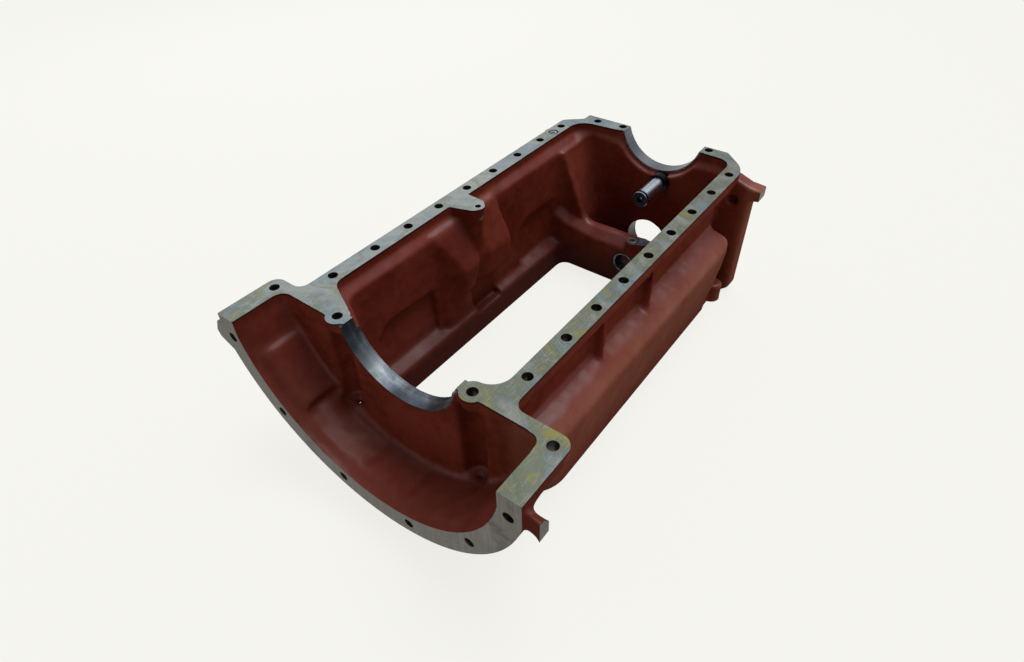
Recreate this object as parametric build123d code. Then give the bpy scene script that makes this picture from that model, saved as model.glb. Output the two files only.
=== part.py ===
"""Cast engine oil pan: one casting plus the pieces pressed into it.

Frame, in millimetres: X to the right, Y from the rear (bell housing) face
towards the front, Z up.  The origin lies on the crank axis, in the plane of
the rear face.  The shapes are drawn with Z counted from the machined joint
face, which lies below the crank axis, and are put in place at the end.
"""
from build123d import *
import os
from math import cos, hypot, radians, sin, sqrt, tan

# ---------------------------------------------------------------- named sizes
LENGTH = 731.0            # rear face to front face
DEPTH = 245.0             # joint face to bottom face
AXIS_HEIGHT = 20.0        # crank axis above the joint face
RIM_HEIGHT = 21.0         # thickness of the joint flange
RIM_LIP = 13.0            # height of the wide mouth inside the joint flange
STEP_DROP = 12.0          # height of the sloping step under the mouth
BOLT_DIA = 13.5           # clearance for the joint bolts
WALL = 10.0               # usual wall of the casting

RAIL_RIGHT_IN = 126.3     # right rail, inner edge
RAIL_RIGHT_OUT = 152.0    # right rail, outer edge
RAIL_LEFT_IN = 157.0      # left rail, inner edge (to the left of the axis)
RAIL_LEFT_OUT = 183.0     # left rail, outer edge (to the left of the axis)
LEFT_WALL_IN = 145.0      # inner face of the left wall below the step
RAIL_PITCH = 65.0         # spacing of the rail bolts
RAIL_FIRST_Y = 209.0      # first of the evenly spaced bolts
RAIL_END = 67.0           # the last rail bolt stays this far from the front face
RAIL_COUNT = 1 + int((LENGTH - RAIL_END - RAIL_FIRST_Y) // RAIL_PITCH)
RAIL_REAR_Y = 133.5       # the extra bolt at the rear of a rail

BELL_FLANGE_R = 236.0     # outer radius of the rear flange
BELL_MOUTH_R = 205.0      # inner radius of the rear flange
BELL_BOLT_R = 219.0       # radius of the rear flange bolt circle
BELL_BOLT_STEP = 30.6     # angle between neighbouring rear flange bolts
BELL_BOLT_COUNT = 6       # rear flange bolts
BELL_FLANGE_T = 20.0      # thickness of the rear flange
TROUGH_R = 200.0          # radius of the trough floor
EAR_HALF = 229.0          # half width over the ears
EAR_DEPTH = 90.0          # ears, rear face to front edge
EAR_BOLT_X = 213.0
EAR_BOLT_Y = 73.0
TROUGH_Y = 74.0           # rear side of the cross wall
CROSS_Y = 92.0            # front side of the cross wall

PAD_X = 105.0             # pads beside the rear seal seat
PAD_Y = 82.0
PAD_R = 15.0
CHANNEL_R = 18.0          # bolt channel below a pad
CHANNEL_Y = 78.0          # axis of the channel, inside the cross wall
CHANNEL_FLOOR = 150.0     # depth of the trough floor at the channels
ACCESS_R = 3.2            # drain hole in the trough floor below a pad

REAR_SEAT_R = 90.0        # rear seal seat
REAR_SEAT_Y = 70.0
FRONT_SEAT_R = 72.0       # front seal seat
FRONT_SEAT_WIDTH = 23.0
FRONT_SEAT_Y = LENGTH - FRONT_SEAT_WIDTH
FRONT_STEP_R = 80.0       # painted recess around the front seat

BULGE_HALF = 175.0        # widest half width of the sump
BULGE_TOP = 84.0          # depth where the shoulder starts
BULGE_EDGE = 99.0         # depth of the widest point
BOTTOM_HALF = 153.0       # half width at the bottom face
BULGE_ROUND = 30.0        # large rounding along the widest edge
BULGE_SETBACK = 79.0      # front face back to the bulged sump
BULGE_FRONT = LENGTH - BULGE_SETBACK
RIGHT_WALL_OUT = 134.0    # outer face of the right wall above the bulge
OPEN_HALF = 128.5         # half width of the bottom opening
OPEN_REAR = 152.0
OPEN_SETBACK = 114.5      # front face back to the bottom opening
OPEN_FRONT = LENGTH - OPEN_SETBACK
POCKET_TOP = 104.0        # depth where the side pockets start
POCKET_REAR = 165.0       # rear end of the side pockets
SILL = 45.0               # height of the bottom opening's straight wall
LEDGE = DEPTH - SILL      # depth where the bottom opening starts

BULKHEAD_SETBACK = 106.0  # front face back to the bulkhead
BULKHEAD_T = 15.0         # thickness of the bulkhead
BEAM_WIDTH = 17.0         # cross beam, standing out behind the bulkhead
FRONT_WALL_T = 32.0       # front face to the front chamber
FLANGE_T = 25.0           # thickness of the front flange
BULKHEAD_Y = LENGTH - BULKHEAD_SETBACK
BEAM_Y = BULKHEAD_Y - BEAM_WIDTH
CHAMBER_Y = BULKHEAD_Y + BULKHEAD_T
FRONT_WALL_Y = LENGTH - FRONT_WALL_T
FLANGE_Y = LENGTH - FLANGE_T
FRONT_HALF = 168.0        # half width of the front flange
LUG_HALF = 182.0          # half width over the front lugs
LUG_BOLT_X = 140.0        # bolt holes of the front lugs
LUG_BOLT_Z = 65.0
LUG_BOLT_R = 8.5
LUG_BOLT_END = 5.0        # metal left in front of a lug hole
FOOT_X = 148.0            # bosses at the bottom front corners
FOOT_Y = FLANGE_Y - 29.0
FOOT_R = 16.5
FOOT_HOLE_R = 6.5
SHAFT_RISE = 53.0         # pump shaft axis above the bottom face
SHAFT_Z = DEPTH - SHAFT_RISE
BEAM_COVER = 46.0         # beam top above the pump shaft axis, at the bulkhead
BEAM_SLOPE = 18.0         # fall of the beam top towards the rear
BEAM_TOP = SHAFT_Z - BEAM_COVER
SHAFT_HOLE_R = 38.0       # hole for the shaft through the front wall
BUSH_OUT_R = 20.0
BUSH_IN_R = 16.0
BUSH_X = 3.5              # the bush sits slightly right of the crank axis
BUSH_STOP = 26.0          # the bush stops against a step in its bore
BUSH_SEAT_Y = BEAM_Y + BUSH_STOP
FIT_GAP = 0.05            # radial gap of the pressed-in pieces
PIN_X = 14.0              # idler pin
PIN_Z = 67.0
PIN_R = 12.5
PIN_REACH = 74.0          # length of the pin in front of its wall
PIN_TIP_Y = FRONT_WALL_Y - PIN_REACH
PIN_SEAT = 22.0           # length of the pin inside the front wall
PIN_COLLAR_R = 16.5       # collar that sits against the front wall
PIN_COLLAR_T = 12.0
PIN_HEAD_R = 14.0         # low head at the tip, behind it a ring groove
PIN_HEAD_T = 7.0
PIN_GROOVE_T = 3.0
PLUG_X = 169.0            # plug in the left rail
PLUG_SETBACK = 94.0       # front face back to the plug
PLUG_Y = LENGTH - PLUG_SETBACK
PLUG_R = 9.0
PLUG_LENGTH = 16.0
TAB_X = 123.0             # small tab on the left rail
TAB_Y = 372.0
GUSSET_T = 8.0
GUSSET_Y = (279.0, 403.0)
CREASES = (-40.0, -11.5, 10.0)         # trough floor creases, degrees
PANEL_START = -68.0       # far edge of the raised floor panel, degrees
PANEL_RISE = 7.0          # height of the raised floor panel

BIG = 400.0               # longer than any cut needs


# ------------------------------------------------------------- small helpers
def rounded_face(corners):
    """Flat face in XY from (x, y, radius) corners, with true arcs."""
    starts = []
    ends = []
    mids = []
    count = len(corners)
    for i in range(count):
        x, y, r = corners[i]
        px, py, _ = corners[i - 1]
        nx, ny, _ = corners[(i + 1) % count]
        ax, ay = px - x, py - y
        bx, by = nx - x, ny - y
        la = hypot(ax, ay)
        lb = hypot(bx, by)
        ax, ay, bx, by = ax / la, ay / la, bx / lb, by / lb
        if r <= 0:
            starts.append((x, y))
            ends.append((x, y))
            mids.append(None)
            continue
        cosine = ax * bx + ay * by
        half_tan = sqrt((1 - cosine) / (1 + cosine))
        cut = r / half_tan
        mx, my = ax + bx, ay + by
        lm = hypot(mx, my)
        half_sin = sqrt((1 - cosine) / 2)
        reach = r / half_sin - r
        starts.append((x + ax * cut, y + ay * cut))
        ends.append((x + bx * cut, y + by * cut))
        mids.append((x + mx / lm * reach, y + my / lm * reach))
    edges = []
    for i in range(count):
        if mids[i] is not None:
            edges.append(ThreePointArc(starts[i], mids[i], ends[i]))
        following = starts[(i + 1) % count]
        gap = hypot(following[0] - ends[i][0], following[1] - ends[i][1])
        if gap > 1e-6:
            edges.append(Line(ends[i], following))
    return make_face(edges)


def upright(corners, z0, z1):
    """Prism with a plan outline between two heights."""
    face = Pos(0, 0, z0) * rounded_face(corners)
    return extrude(face, amount=z1 - z0, dir=(0, 0, 1))


def along_y(corners, y0, y1):
    """Prism along Y; the corners are (x, z, radius)."""
    plane = Plane(origin=(0, y0, 0), x_dir=(1, 0, 0), z_dir=(0, -1, 0))
    return extrude(plane * rounded_face(corners), amount=y1 - y0, dir=(0, 1, 0))


def along_x(corners, x0, x1):
    """Prism along X; the corners are (y, z, radius)."""
    plane = Plane(origin=(x0, 0, 0), x_dir=(0, 1, 0), z_dir=(1, 0, 0))
    return extrude(plane * rounded_face(corners), amount=x1 - x0, dir=(1, 0, 0))


def tapered(lower, z0, upper, z1):
    """Solid between two plan outlines with matching corners."""
    faces = [Pos(0, 0, z0) * rounded_face(lower), Pos(0, 0, z1) * rounded_face(upper)]
    return loft(faces, ruled=True)


def block(x0, x1, y0, y1, z0, z1):
    size = Box(x1 - x0, y1 - y0, z1 - z0)
    return Pos((x0 + x1) / 2, (y0 + y1) / 2, (z0 + z1) / 2) * size


def rod_z(x, y, r, z0, z1):
    return Pos(x, y, (z0 + z1) / 2) * Cylinder(r, z1 - z0)


def rod_y(x, z, r, y0, y1):
    return Pos(x, (y0 + y1) / 2, z) * Rot(90, 0, 0) * Cylinder(r, y1 - y0)


def plan_box(left, right, rear, front, r_rear, r_front):
    """Plan outline of a box with rounded corners."""
    return [
        (-left, rear, r_rear),
        (right, rear, r_rear),
        (right, front, r_front),
        (-left, front, r_front),
    ]


def rail_bolt_rows():
    """Y positions of the bolts on one rail."""
    rows = [RAIL_REAR_Y]
    for i in range(RAIL_COUNT):
        rows.append(RAIL_FIRST_Y + i * RAIL_PITCH)
    return rows


# ------------------------------------------------------------ outside shapes
def rim():
    """The joint flange, outline filled; the inside is cut later."""
    outline = [
        (-EAR_HALF, 0, 0),
        (EAR_HALF, 0, 0),
        (EAR_HALF, EAR_DEPTH, 15),
        (RAIL_RIGHT_OUT, EAR_DEPTH, 14),
        (RAIL_RIGHT_OUT, LENGTH - 41, 55),
        (RAIL_RIGHT_OUT - 43, LENGTH, 2),
        (-RAIL_LEFT_OUT + 30, LENGTH, 2),
        (-RAIL_LEFT_OUT + 30, LENGTH - 19, 8),
        (-RAIL_LEFT_OUT, LENGTH - 43, 16),
        (-RAIL_LEFT_OUT, EAR_DEPTH, 14),
        (-EAR_HALF, EAR_DEPTH, 15),
    ]
    return upright(outline, -RIM_HEIGHT, 0)


def plug_boss():
    """Small swelling of the left rail around its plug."""
    return rod_z(-PLUG_X, PLUG_Y, PLUG_R + 6.5, -RIM_HEIGHT, 0)


def neck():
    """Upper side walls, between the rim and the bulge."""
    left = LEFT_WALL_IN + WALL
    return block(-left, RIGHT_WALL_OUT, TROUGH_Y, BULGE_FRONT, -BULGE_EDGE, -RIM_HEIGHT / 2)


def sump():
    """Bulged lower body with a sloping shoulder and a tapering lower wall."""
    left = LEFT_WALL_IN + WALL
    wide = plan_box(BULGE_HALF, BULGE_HALF, TROUGH_Y, BULGE_FRONT, 8, 18)
    narrow = plan_box(BOTTOM_HALF, BOTTOM_HALF, 138, BULGE_FRONT - 2, 60, 18)
    collar = plan_box(left, RIGHT_WALL_OUT, TROUGH_Y, BULGE_FRONT - 8, 8, 14)
    lower = tapered(narrow, -DEPTH, wide, -BULGE_EDGE)
    shoulder = tapered(wide, -BULGE_EDGE, collar, -BULGE_TOP)
    return (lower + shoulder) & rounded_section()


def rounded_section():
    """Cross section that rounds the widest edge of the sump on both sides."""
    skim = 0.3
    top = -BULGE_TOP + skim
    outline = [
        (RIGHT_WALL_OUT, top, 0),
        (BULGE_HALF + skim, -BULGE_EDGE + skim, BULGE_ROUND),
        (BOTTOM_HALF + skim, -DEPTH - 1, 0),
        (-BOTTOM_HALF - skim, -DEPTH - 1, 0),
        (-BULGE_HALF - skim, -BULGE_EDGE + skim, BULGE_ROUND),
        (-LEFT_WALL_IN - WALL, top, 0),
    ]
    return along_y(outline, TROUGH_Y - 5, BULGE_FRONT + 5)


def bell():
    """Rear flange and the drum behind it, concentric with the crank axis."""
    flange = rod_y(0, AXIS_HEIGHT, BELL_FLANGE_R, 0, BELL_FLANGE_T)
    back = CHANNEL_Y + CHANNEL_R + 8
    drum = rod_y(0, AXIS_HEIGHT, TROUGH_R + WALL + 1, 0, EAR_DEPTH - 2)
    below = block(-EAR_HALF, EAR_HALF, -1, back + 1, -BIG, -1)
    thick = rod_y(0, AXIS_HEIGHT, TROUGH_R + WALL + 1, EAR_DEPTH - 20, back)
    low = block(-PAD_X - 50, PAD_X + 50, 0, back + 1, -BIG, -BULGE_TOP - 8)
    return ((flange + drum) & below) + (thick & low)


def rear_lugs():
    """Lugs on both sides of the rear flange; the right one is set back."""
    left = along_y(
        [(-222, -4, 0), (-231, -11, 3), (-239, -17, 4), (-248.5, -36, 3), (-245.5, -46, 4), (-218, -60, 0)],
        0,
        BELL_FLANGE_T,
    )
    front = along_y(
        [(214, -3, 0), (229, -9, 4), (246, -18, 2), (246, -50, 2), (228, -39, 8), (214, -60, 0)],
        4,
        BELL_FLANGE_T + 6,
    )
    side = along_x([(4, 0, 0), (6, -14, 0), (19, -29, 3), (19, -70, 0), (4, -70, 0)], 212, 250)
    return [left, front & side]


def front_flange():
    """Plate behind the front face with a lug on each side."""
    right = [
        (FRONT_HALF, -DEPTH, 14),
        (FRONT_HALF, -62, 4),
        (LUG_HALF, -56, 2),
        (LUG_HALF, -38, 2),
        (160, -36, 6),
        (136, -27, 6),
        (104, -RIM_HEIGHT + 1, 0),
    ]
    left = []
    for x, z, r in reversed(right):
        left.append((-x, z, r))
    return along_y(right + left, FLANGE_Y, LENGTH)


def chamber_shell():
    """Outside of the front chamber, its walls leaning inwards."""
    outline = [
        (-LEFT_WALL_IN - WALL, -12, 0),
        (-LEFT_WALL_IN - 5, -31, 5),
        (-106, -150, 10),
        (-93, -DEPTH, 0),
        (93, -DEPTH, 0),
        (106, -150, 10),
        (RIGHT_WALL_OUT - 5, -31, 5),
        (RIGHT_WALL_OUT, -12, 0),
    ]
    return along_y(outline, BULKHEAD_Y - 15, FLANGE_Y + 2)


def front_foot():
    """Bottom web between sump and front flange, with a boss at each corner."""
    web = block(-150, 150, BULGE_FRONT - 30, FLANGE_Y + 5, -DEPTH, -DEPTH + 16)
    for side in (-1, 1):
        web += rod_z(side * FOOT_X, FOOT_Y, FOOT_R, -DEPTH, -DEPTH + 34)
    return web


def gussets():
    """Thin ribs from the rim down to the shoulder on both sides."""
    ribs = []
    left = LEFT_WALL_IN + WALL
    drop = BULGE_EDGE - BULGE_TOP
    for y in GUSSET_Y:
        outer = RAIL_RIGHT_OUT - 1
        low = -BULGE_TOP - drop * (outer - RIGHT_WALL_OUT) / (BULGE_HALF - RIGHT_WALL_OUT) - 2
        right = [
            (RIGHT_WALL_OUT - 4, -RIM_HEIGHT + 2, 0),
            (outer, -RIM_HEIGHT + 2, 0),
            (outer, low, 0),
            (RIGHT_WALL_OUT - 4, -BULGE_TOP - 5, 0),
        ]
        ribs.append(along_y(right, y, y + GUSSET_T))
        far = BULGE_HALF - 4
        mirror = [
            (-left + 4, -RIM_HEIGHT + 2, 0),
            (-left + 4, -BULGE_TOP - 5, 0),
            (-far, -BULGE_EDGE - 18, 0),
            (-far, -RIM_HEIGHT + 2, 0),
        ]
        ribs.append(along_y(mirror, y, y + GUSSET_T))
    return ribs


# ------------------------------------------------------------- inside shapes
def trough_void():
    """Hollow of the bell: a drum with a rounded end and straight upper sides."""
    mouth = rod_y(0, AXIS_HEIGHT, BELL_MOUTH_R, -5, 12)
    drum = rod_y(0, AXIS_HEIGHT, TROUGH_R, -5, TROUGH_Y)
    front_edges = drum.edges().filter_by(GeomType.CIRCLE).sort_by(Axis.Y)
    drum = fillet(front_edges[-1:], 12)
    column = block(-TROUGH_R, TROUGH_R, -6, TROUGH_Y + 6, -BIG, BIG)
    void = (mouth + drum) & column
    top = [
        (-TROUGH_R, -30, 14),
        (TROUGH_R, -30, 14),
        (TROUGH_R, TROUGH_Y + 1, 22),
        (-TROUGH_R, TROUGH_Y + 1, 16),
    ]
    low = plan_box(TROUGH_R - 5, TROUGH_R - 5, -30, TROUGH_Y, 18, 24)
    void += upright(top, -RIM_LIP, 5)
    return void + tapered(low, -RIM_LIP - 14, top, -RIM_LIP)


def sector(inner, outer, start, end, y0, y1):
    """Slice of a ring around the crank axis; angles from straight down."""
    ring = rod_y(0, AXIS_HEIGHT, outer, y0, y1) - rod_y(0, AXIS_HEIGHT, inner, y0 - 1, y1 + 1)
    middle = radians((start + end) / 2)
    half = radians((end - start) / 2)
    reach = outer * 1.5
    corners = [(0, AXIS_HEIGHT, 0)]
    for angle in (middle - half, middle, middle + half):
        corners.append((reach * sin(angle), AXIS_HEIGHT - reach * cos(angle), 0))
    return ring & along_y(corners, y0 - 1, y1 + 1)


def floor_panels():
    """Raised panel on the trough floor, near the left end of the arc."""
    panels = []
    start = PANEL_START
    end = CREASES[0] - 1
    for rise, rear in ((PANEL_RISE, 18), (PANEL_RISE / 2, 14)):
        panels.append(sector(TROUGH_R - rise, TROUGH_R + 3, start, end, rear, TROUGH_Y + 2))
    return panels


def floor_grooves():
    """Shallow grooves that part the pads of the trough floor."""
    cuts = []
    for angle in CREASES:
        reach = TROUGH_R - 3
        x = reach * sin(radians(angle))
        z = AXIS_HEIGHT - reach * cos(radians(angle))
        cuts.append(rod_y(x, z, 7, 24, TROUGH_Y - 9))
        cuts.append(Pos(x, TROUGH_Y - 9, z) * Sphere(7))
    return cuts


def crankcase_void():
    """Main hollow, from the wide mouth down to the bottom opening."""
    left = LEFT_WALL_IN
    right = RAIL_RIGHT_IN - 2
    mouth = [
        (-RAIL_LEFT_IN, CROSS_Y + 32, 20),
        (-98, CROSS_Y + 3.8, 8),
        (-84, CROSS_Y + 1, 3),
        (84, CROSS_Y + 1, 3),
        (98, CROSS_Y + 5, 6),
        (RAIL_RIGHT_IN, CROSS_Y + 5, 27),
        (RAIL_RIGHT_IN, FRONT_SEAT_Y - 1, 24),
        (-70, FRONT_SEAT_Y - 1, 60),
        (-RAIL_LEFT_IN, FRONT_SEAT_Y - 9, 30),
    ]
    inner = [
        (-left, CROSS_Y + 38, 20),
        (-98, CROSS_Y + 14, 12),
        (-84, CROSS_Y + 2, 6),
        (84, CROSS_Y + 2, 6),
        (98, CROSS_Y + 14, 12),
        (right, CROSS_Y + 17, 14),
        (right, FRONT_WALL_Y, 24),
        (-70, FRONT_WALL_Y, 60),
        (-left, FRONT_WALL_Y - 8, 30),
    ]
    low = inner[:6] + [(right, BULKHEAD_Y, 8), (-left, BULKHEAD_Y, 14)]
    top = upright(mouth, -RIM_LIP, 5)
    step = tapered(inner, -RIM_LIP - STEP_DROP, mouth, -RIM_LIP)
    throat = upright(low, -LEDGE + 11, -RIM_LIP - STEP_DROP + 0.01)
    return [top, step, throat & side_profile(), belly_void()] + pad_corners()


def pad_corners():
    """Rounds off the pads where the rear seat meets the mouth."""
    cuts = []
    for side in (-1, 1):
        x = side * 93
        corner = block(x - 12, x + 12, PAD_Y, PAD_Y + PAD_R + 0.5, -RIM_LIP, 5)
        cuts.append(corner - rod_z(side * PAD_X, PAD_Y, PAD_R + 0.5, -BIG, BIG))
    return cuts


def side_profile():
    """Keeps the main hollow clear of the sloping rear end of the sump."""
    outline = [
        (0, 5, 0),
        (0, -BULGE_TOP - 13, 0),
        (CROSS_Y, -BULGE_TOP - 13, 0),
        (138, -LEDGE + 5, 20),
        (BULKHEAD_Y + 5, -LEDGE + 5, 0),
        (BULKHEAD_Y + 5, 5, 0),
    ]
    return along_x(outline, -BIG, BIG)


def belly_void():
    """Wider lower part of the hollow: side pockets, hopper and opening."""
    wide = BULGE_HALF - WALL - 4.4
    near = wide - 15
    waist = BOTTOM_HALF - 1
    middle = -POCKET_TOP - 24
    high = -BULGE_EDGE + 2
    roof = plan_box(near, near, CROSS_Y + 10, BEAM_Y, 14, 12)
    pocket = plan_box(wide, wide, CROSS_Y + 10, BEAM_Y, 14, 12)
    floor = plan_box(waist, waist, 132, BEAM_Y, 40, 12)
    rim_hole = plan_box(OPEN_HALF + 3, OPEN_HALF + 3, OPEN_REAR - 10, BEAM_Y, 34, 12)
    hole = plan_box(OPEN_HALF, OPEN_HALF, OPEN_REAR, OPEN_FRONT, 20, 18)
    belly = tapered(floor, -LEDGE + 11, pocket, middle) + tapered(pocket, middle, roof, high)
    hopper = tapered(rim_hole, -LEDGE, floor, -LEDGE + 11)
    opening = upright(hole, -DEPTH - 5, -LEDGE + 1)
    keep = block(-LEFT_WALL_IN, RAIL_RIGHT_IN - 2, CROSS_Y, BIG * 2, -BIG, -POCKET_TOP)
    keep += side_pocket(POCKET_REAR, BEAM_Y + 5, 120, BULGE_HALF)
    keep += side_pocket(POCKET_REAR, 285, -BULGE_HALF, -140)
    keep += side_pocket(504, BEAM_Y + 5, -BULGE_HALF, -140)
    return (belly & keep) + (hopper & keep) + opening


def side_pocket(rear, front, x0, x1):
    """Block that lets the hollow reach out under the upper side wall."""
    bottom = -LEDGE - 3
    outline = [
        (rear, bottom, 0),
        (rear, -POCKET_TOP, 36),
        (front, -POCKET_TOP - 8, 5),
        (front, bottom, 0),
    ]
    return along_x(outline, x0, x1)


def bulkhead_gap():
    """The U-shaped gap through the bulkhead, above the cross beam."""
    outline = [
        (-LEFT_WALL_IN + 4, 5, 0),
        (-LEFT_WALL_IN + 8, -31, 6),
        (-90, -BEAM_TOP - 1, 22),
        (90, -BEAM_TOP - 1, 22),
        (RAIL_RIGHT_IN - 7, -31, 6),
        (RAIL_RIGHT_IN - 3, 5, 0),
    ]
    return along_y(outline, BULKHEAD_Y - 20, CHAMBER_Y + 5)


def chamber_void():
    """Hollow of the front chamber, its front corners rounded."""
    outline = [
        (-LEFT_WALL_IN + 4, 60, 0),
        (-LEFT_WALL_IN + 8, -31, 6),
        (-95, -150, 12),
        (-82, -DEPTH + 13, 14),
        (82, -DEPTH + 13, 14),
        (95, -150, 12),
        (RAIL_RIGHT_IN - 7, -31, 6),
        (RAIL_RIGHT_IN - 3, 60, 0),
    ]
    hollow = along_y(outline, CHAMBER_Y, FRONT_WALL_Y)
    front = hollow.faces().sort_by(Axis.Y)[-1]
    return fillet(front.edges(), 16)


# ----------------------------------------------------------- inner additions
def beam():
    """Cross beam with a sloping top, carried by the bulkhead."""
    section = [
        (BULKHEAD_Y + 1, -BEAM_TOP, 0),
        (BEAM_Y, -BEAM_TOP - BEAM_SLOPE, 5),
        (BEAM_Y, -LEDGE, 0),
        (OPEN_FRONT, -DEPTH, 0),
        (CHAMBER_Y, -DEPTH, 0),
        (CHAMBER_Y, -BEAM_TOP, 0),
    ]
    parts = [along_x(section, -LEFT_WALL_IN - 2, RAIL_RIGHT_IN + 2)]
    for side, wall in ((-1, LEFT_WALL_IN), (1, RAIL_RIGHT_IN - 2)):
        faces = []
        for x, rise in ((wall + 2, 25), (wall - 26, 9), (60, 0)):
            plane = Plane(origin=(side * x, 0, 0), x_dir=(0, 1, 0), z_dir=(1, 0, 0))
            face = rounded_face([
                (BULKHEAD_Y + 3, -BEAM_TOP + rise, 0),
                (BEAM_Y, -BEAM_TOP - BEAM_SLOPE + rise, 5),
                (BEAM_Y, -BEAM_TOP - 34, 0),
                (BULKHEAD_Y + 3, -BEAM_TOP - 34, 0),
            ])
            faces.append(plane * face)
        parts.append(loft(faces[:2], ruled=True))
        parts.append(loft(faces[1:], ruled=True))
    return parts


def screw_boss():
    """Flat topped boss for a screw, beside the shaft bush."""
    low = -BEAM_TOP - 26
    boss = rod_z(15, BEAM_Y + 7, 11, low, -BEAM_TOP + 2)
    boss += rod_z(29, BEAM_Y + 14, 12, low, -BEAM_TOP + 2)
    return boss


def lobes():
    """Two wedges on the left wall with the rib that carries the tab."""
    wall = LEFT_WALL_IN + 5
    face = LEFT_WALL_IN - 1
    nose = LEFT_WALL_IN - 30
    rear_top = [(-wall, 286, 0), (-face, 292, 2), (-face, 350, 2), (-wall, 353, 0)]
    rear_edge = [(-wall, 284, 0), (-nose, 327, 9), (-nose, 366, 7), (-wall, 366, 0)]
    rear_foot = [(-wall, 290, 0), (-nose - 3, 331, 9), (-nose - 3, 354, 9), (-wall, 358, 0)]
    rear_base = [(-wall, 306, 0), (-face + 8, 337, 5), (-face + 8, 354, 5), (-wall, 358, 0)]
    front_top = [
        (-wall, 352, 0), (-face - 1, 360, 1), (-face, 388, 1), (-face, 437, 2), (-wall, 441, 0),
    ]
    front_edge = [
        (-wall, 350, 0), (-nose - 18, 358, 2), (-nose - 3, 388, 9), (-nose, 446, 9), (-wall, 451, 0),
    ]
    front_foot_plan = [
        (-wall, 350, 0), (-nose - 18, 358, 2), (-nose - 5, 388, 9), (-nose - 3, 444, 9), (-wall, 450, 0),
    ]
    front_base = [
        (-wall, 350, 0), (-face - 1, 358, 1), (-face, 388, 1), (-face, 440, 2), (-wall, 446, 0),
    ]
    solids = [
        tapered(rear_edge, -92, rear_top, -19),
        tapered(rear_foot, -132, rear_edge, -92),
        tapered(rear_base, -153, rear_foot, -132),
        tapered(front_edge, -92, front_top, -19),
        tapered(front_foot_plan, -133, front_edge, -92),
        tapered(front_base, -148, front_foot_plan, -133),
    ]
    rib_top = [
        (-wall - 5, 352, 0), (-TAB_X, TAB_Y - 12, 8), (-TAB_X + 12, TAB_Y, 8),
        (-TAB_X, TAB_Y + 12, 8), (-wall - 5, TAB_Y + 14, 0),
    ]
    rib_foot = [
        (-wall - 5, 352, 0), (-TAB_X - 10, TAB_Y - 12, 6), (-TAB_X, TAB_Y, 6),
        (-TAB_X - 8, TAB_Y + 10, 6), (-wall - 5, TAB_Y + 14, 0),
    ]
    solids.append(tapered(rib_foot, -116, rib_top, -8))
    back = BOTTOM_HALF + 12
    post = [(-back, 284, 0), (-face + 6, 300, 4), (-face + 6, 366, 8), (-back, 366, 0)]
    solids.append(upright(post, -LEDGE - 4, -125))
    return solids


def tab():
    """Small tab of the joint face, inside the left rail."""
    outline = [
        (-RAIL_LEFT_IN - 5, 344, 0),
        (-RAIL_LEFT_IN + 6, 348, 10),
        (-TAB_X + 2, TAB_Y - 15, 12),
        (-TAB_X + 13.5, TAB_Y + 1, 11),
        (-TAB_X - 2, TAB_Y + 16, 11),
        (-RAIL_LEFT_IN - 5, TAB_Y + 18, 0),
    ]
    return upright(outline, -14, 0)


def ledge_notch():
    """Square recess in the lower left wall, in front of the post."""
    back = BOTTOM_HALF - 5
    near = OPEN_HALF - 1
    outline = [(-back, 368, 2), (-near, 368, 0), (-near, 427, 0), (-back, 427, 2)]
    return upright(outline, -LEDGE - 6, -158)


def pads():
    """Round pads beside the rear seat, standing out over the trough."""
    solids = []
    for side in (-1, 1):
        solids.append(rod_z(side * PAD_X, PAD_Y, PAD_R, -RIM_HEIGHT, 0))
    return solids


def channels():
    """Bolt channels below the pads, with the access holes in the floor."""
    cuts = []
    for side in (-1, 1):
        top = -RIM_HEIGHT + 1
        cuts.append(rod_z(side * PAD_X, CHANNEL_Y, CHANNEL_R, -CHANNEL_FLOOR, top))
        cuts.append(rod_z(side * PAD_X, PAD_Y, ACCESS_R, -BIG, -CHANNEL_FLOOR + 1))
    return cuts


def seats():
    """Half-round seal seats, concentric with the crank axis."""
    rear = rod_y(0, AXIS_HEIGHT, REAR_SEAT_R, REAR_SEAT_Y - 20, CROSS_Y + 40)
    front = rod_y(0, AXIS_HEIGHT, FRONT_SEAT_R, FRONT_WALL_Y - 20, LENGTH + 5)
    step = rod_y(0, AXIS_HEIGHT, FRONT_STEP_R, FRONT_WALL_Y - 20, FRONT_SEAT_Y)
    return [rear, front, step]


def seat_lip():
    """Edge of the rear seat, standing out over the trough with a chamfer."""
    ring = rod_y(0, AXIS_HEIGHT, REAR_SEAT_R + 9, REAR_SEAT_Y, TROUGH_Y + 2)
    ring = chamfer(ring.edges().filter_by(GeomType.CIRCLE).sort_by(Axis.Y)[:1], 3.9)
    limit = block(-PAD_X, PAD_X, 0, BIG, -BIG, -2)
    return ring & limit


# --------------------------------------------------------------------- holes
def joint_holes():
    cuts = []
    for y in rail_bolt_rows():
        cuts.append(rod_z((RAIL_RIGHT_IN + RAIL_RIGHT_OUT) / 2, y, BOLT_DIA / 2, -40, 5))
        cuts.append(rod_z(-(RAIL_LEFT_IN + RAIL_LEFT_OUT) / 2 - 1, y, BOLT_DIA / 2, -40, 5))
    for side in (-1, 1):
        cuts.append(rod_z(side * EAR_BOLT_X, EAR_BOLT_Y, BOLT_DIA / 2, -40, 5))
        cuts.append(rod_z(side * PAD_X, PAD_Y, BOLT_DIA / 2, -40, 5))
        cuts.append(rod_z(side * 80, LENGTH - 9, BOLT_DIA / 2, -30, 5))
    cuts.append(rod_z(-128, LENGTH - 14, BOLT_DIA / 2, -30, 5))
    cuts.append(rod_z(-TAB_X, TAB_Y, 4.5, -16, 5))
    return cuts


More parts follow.
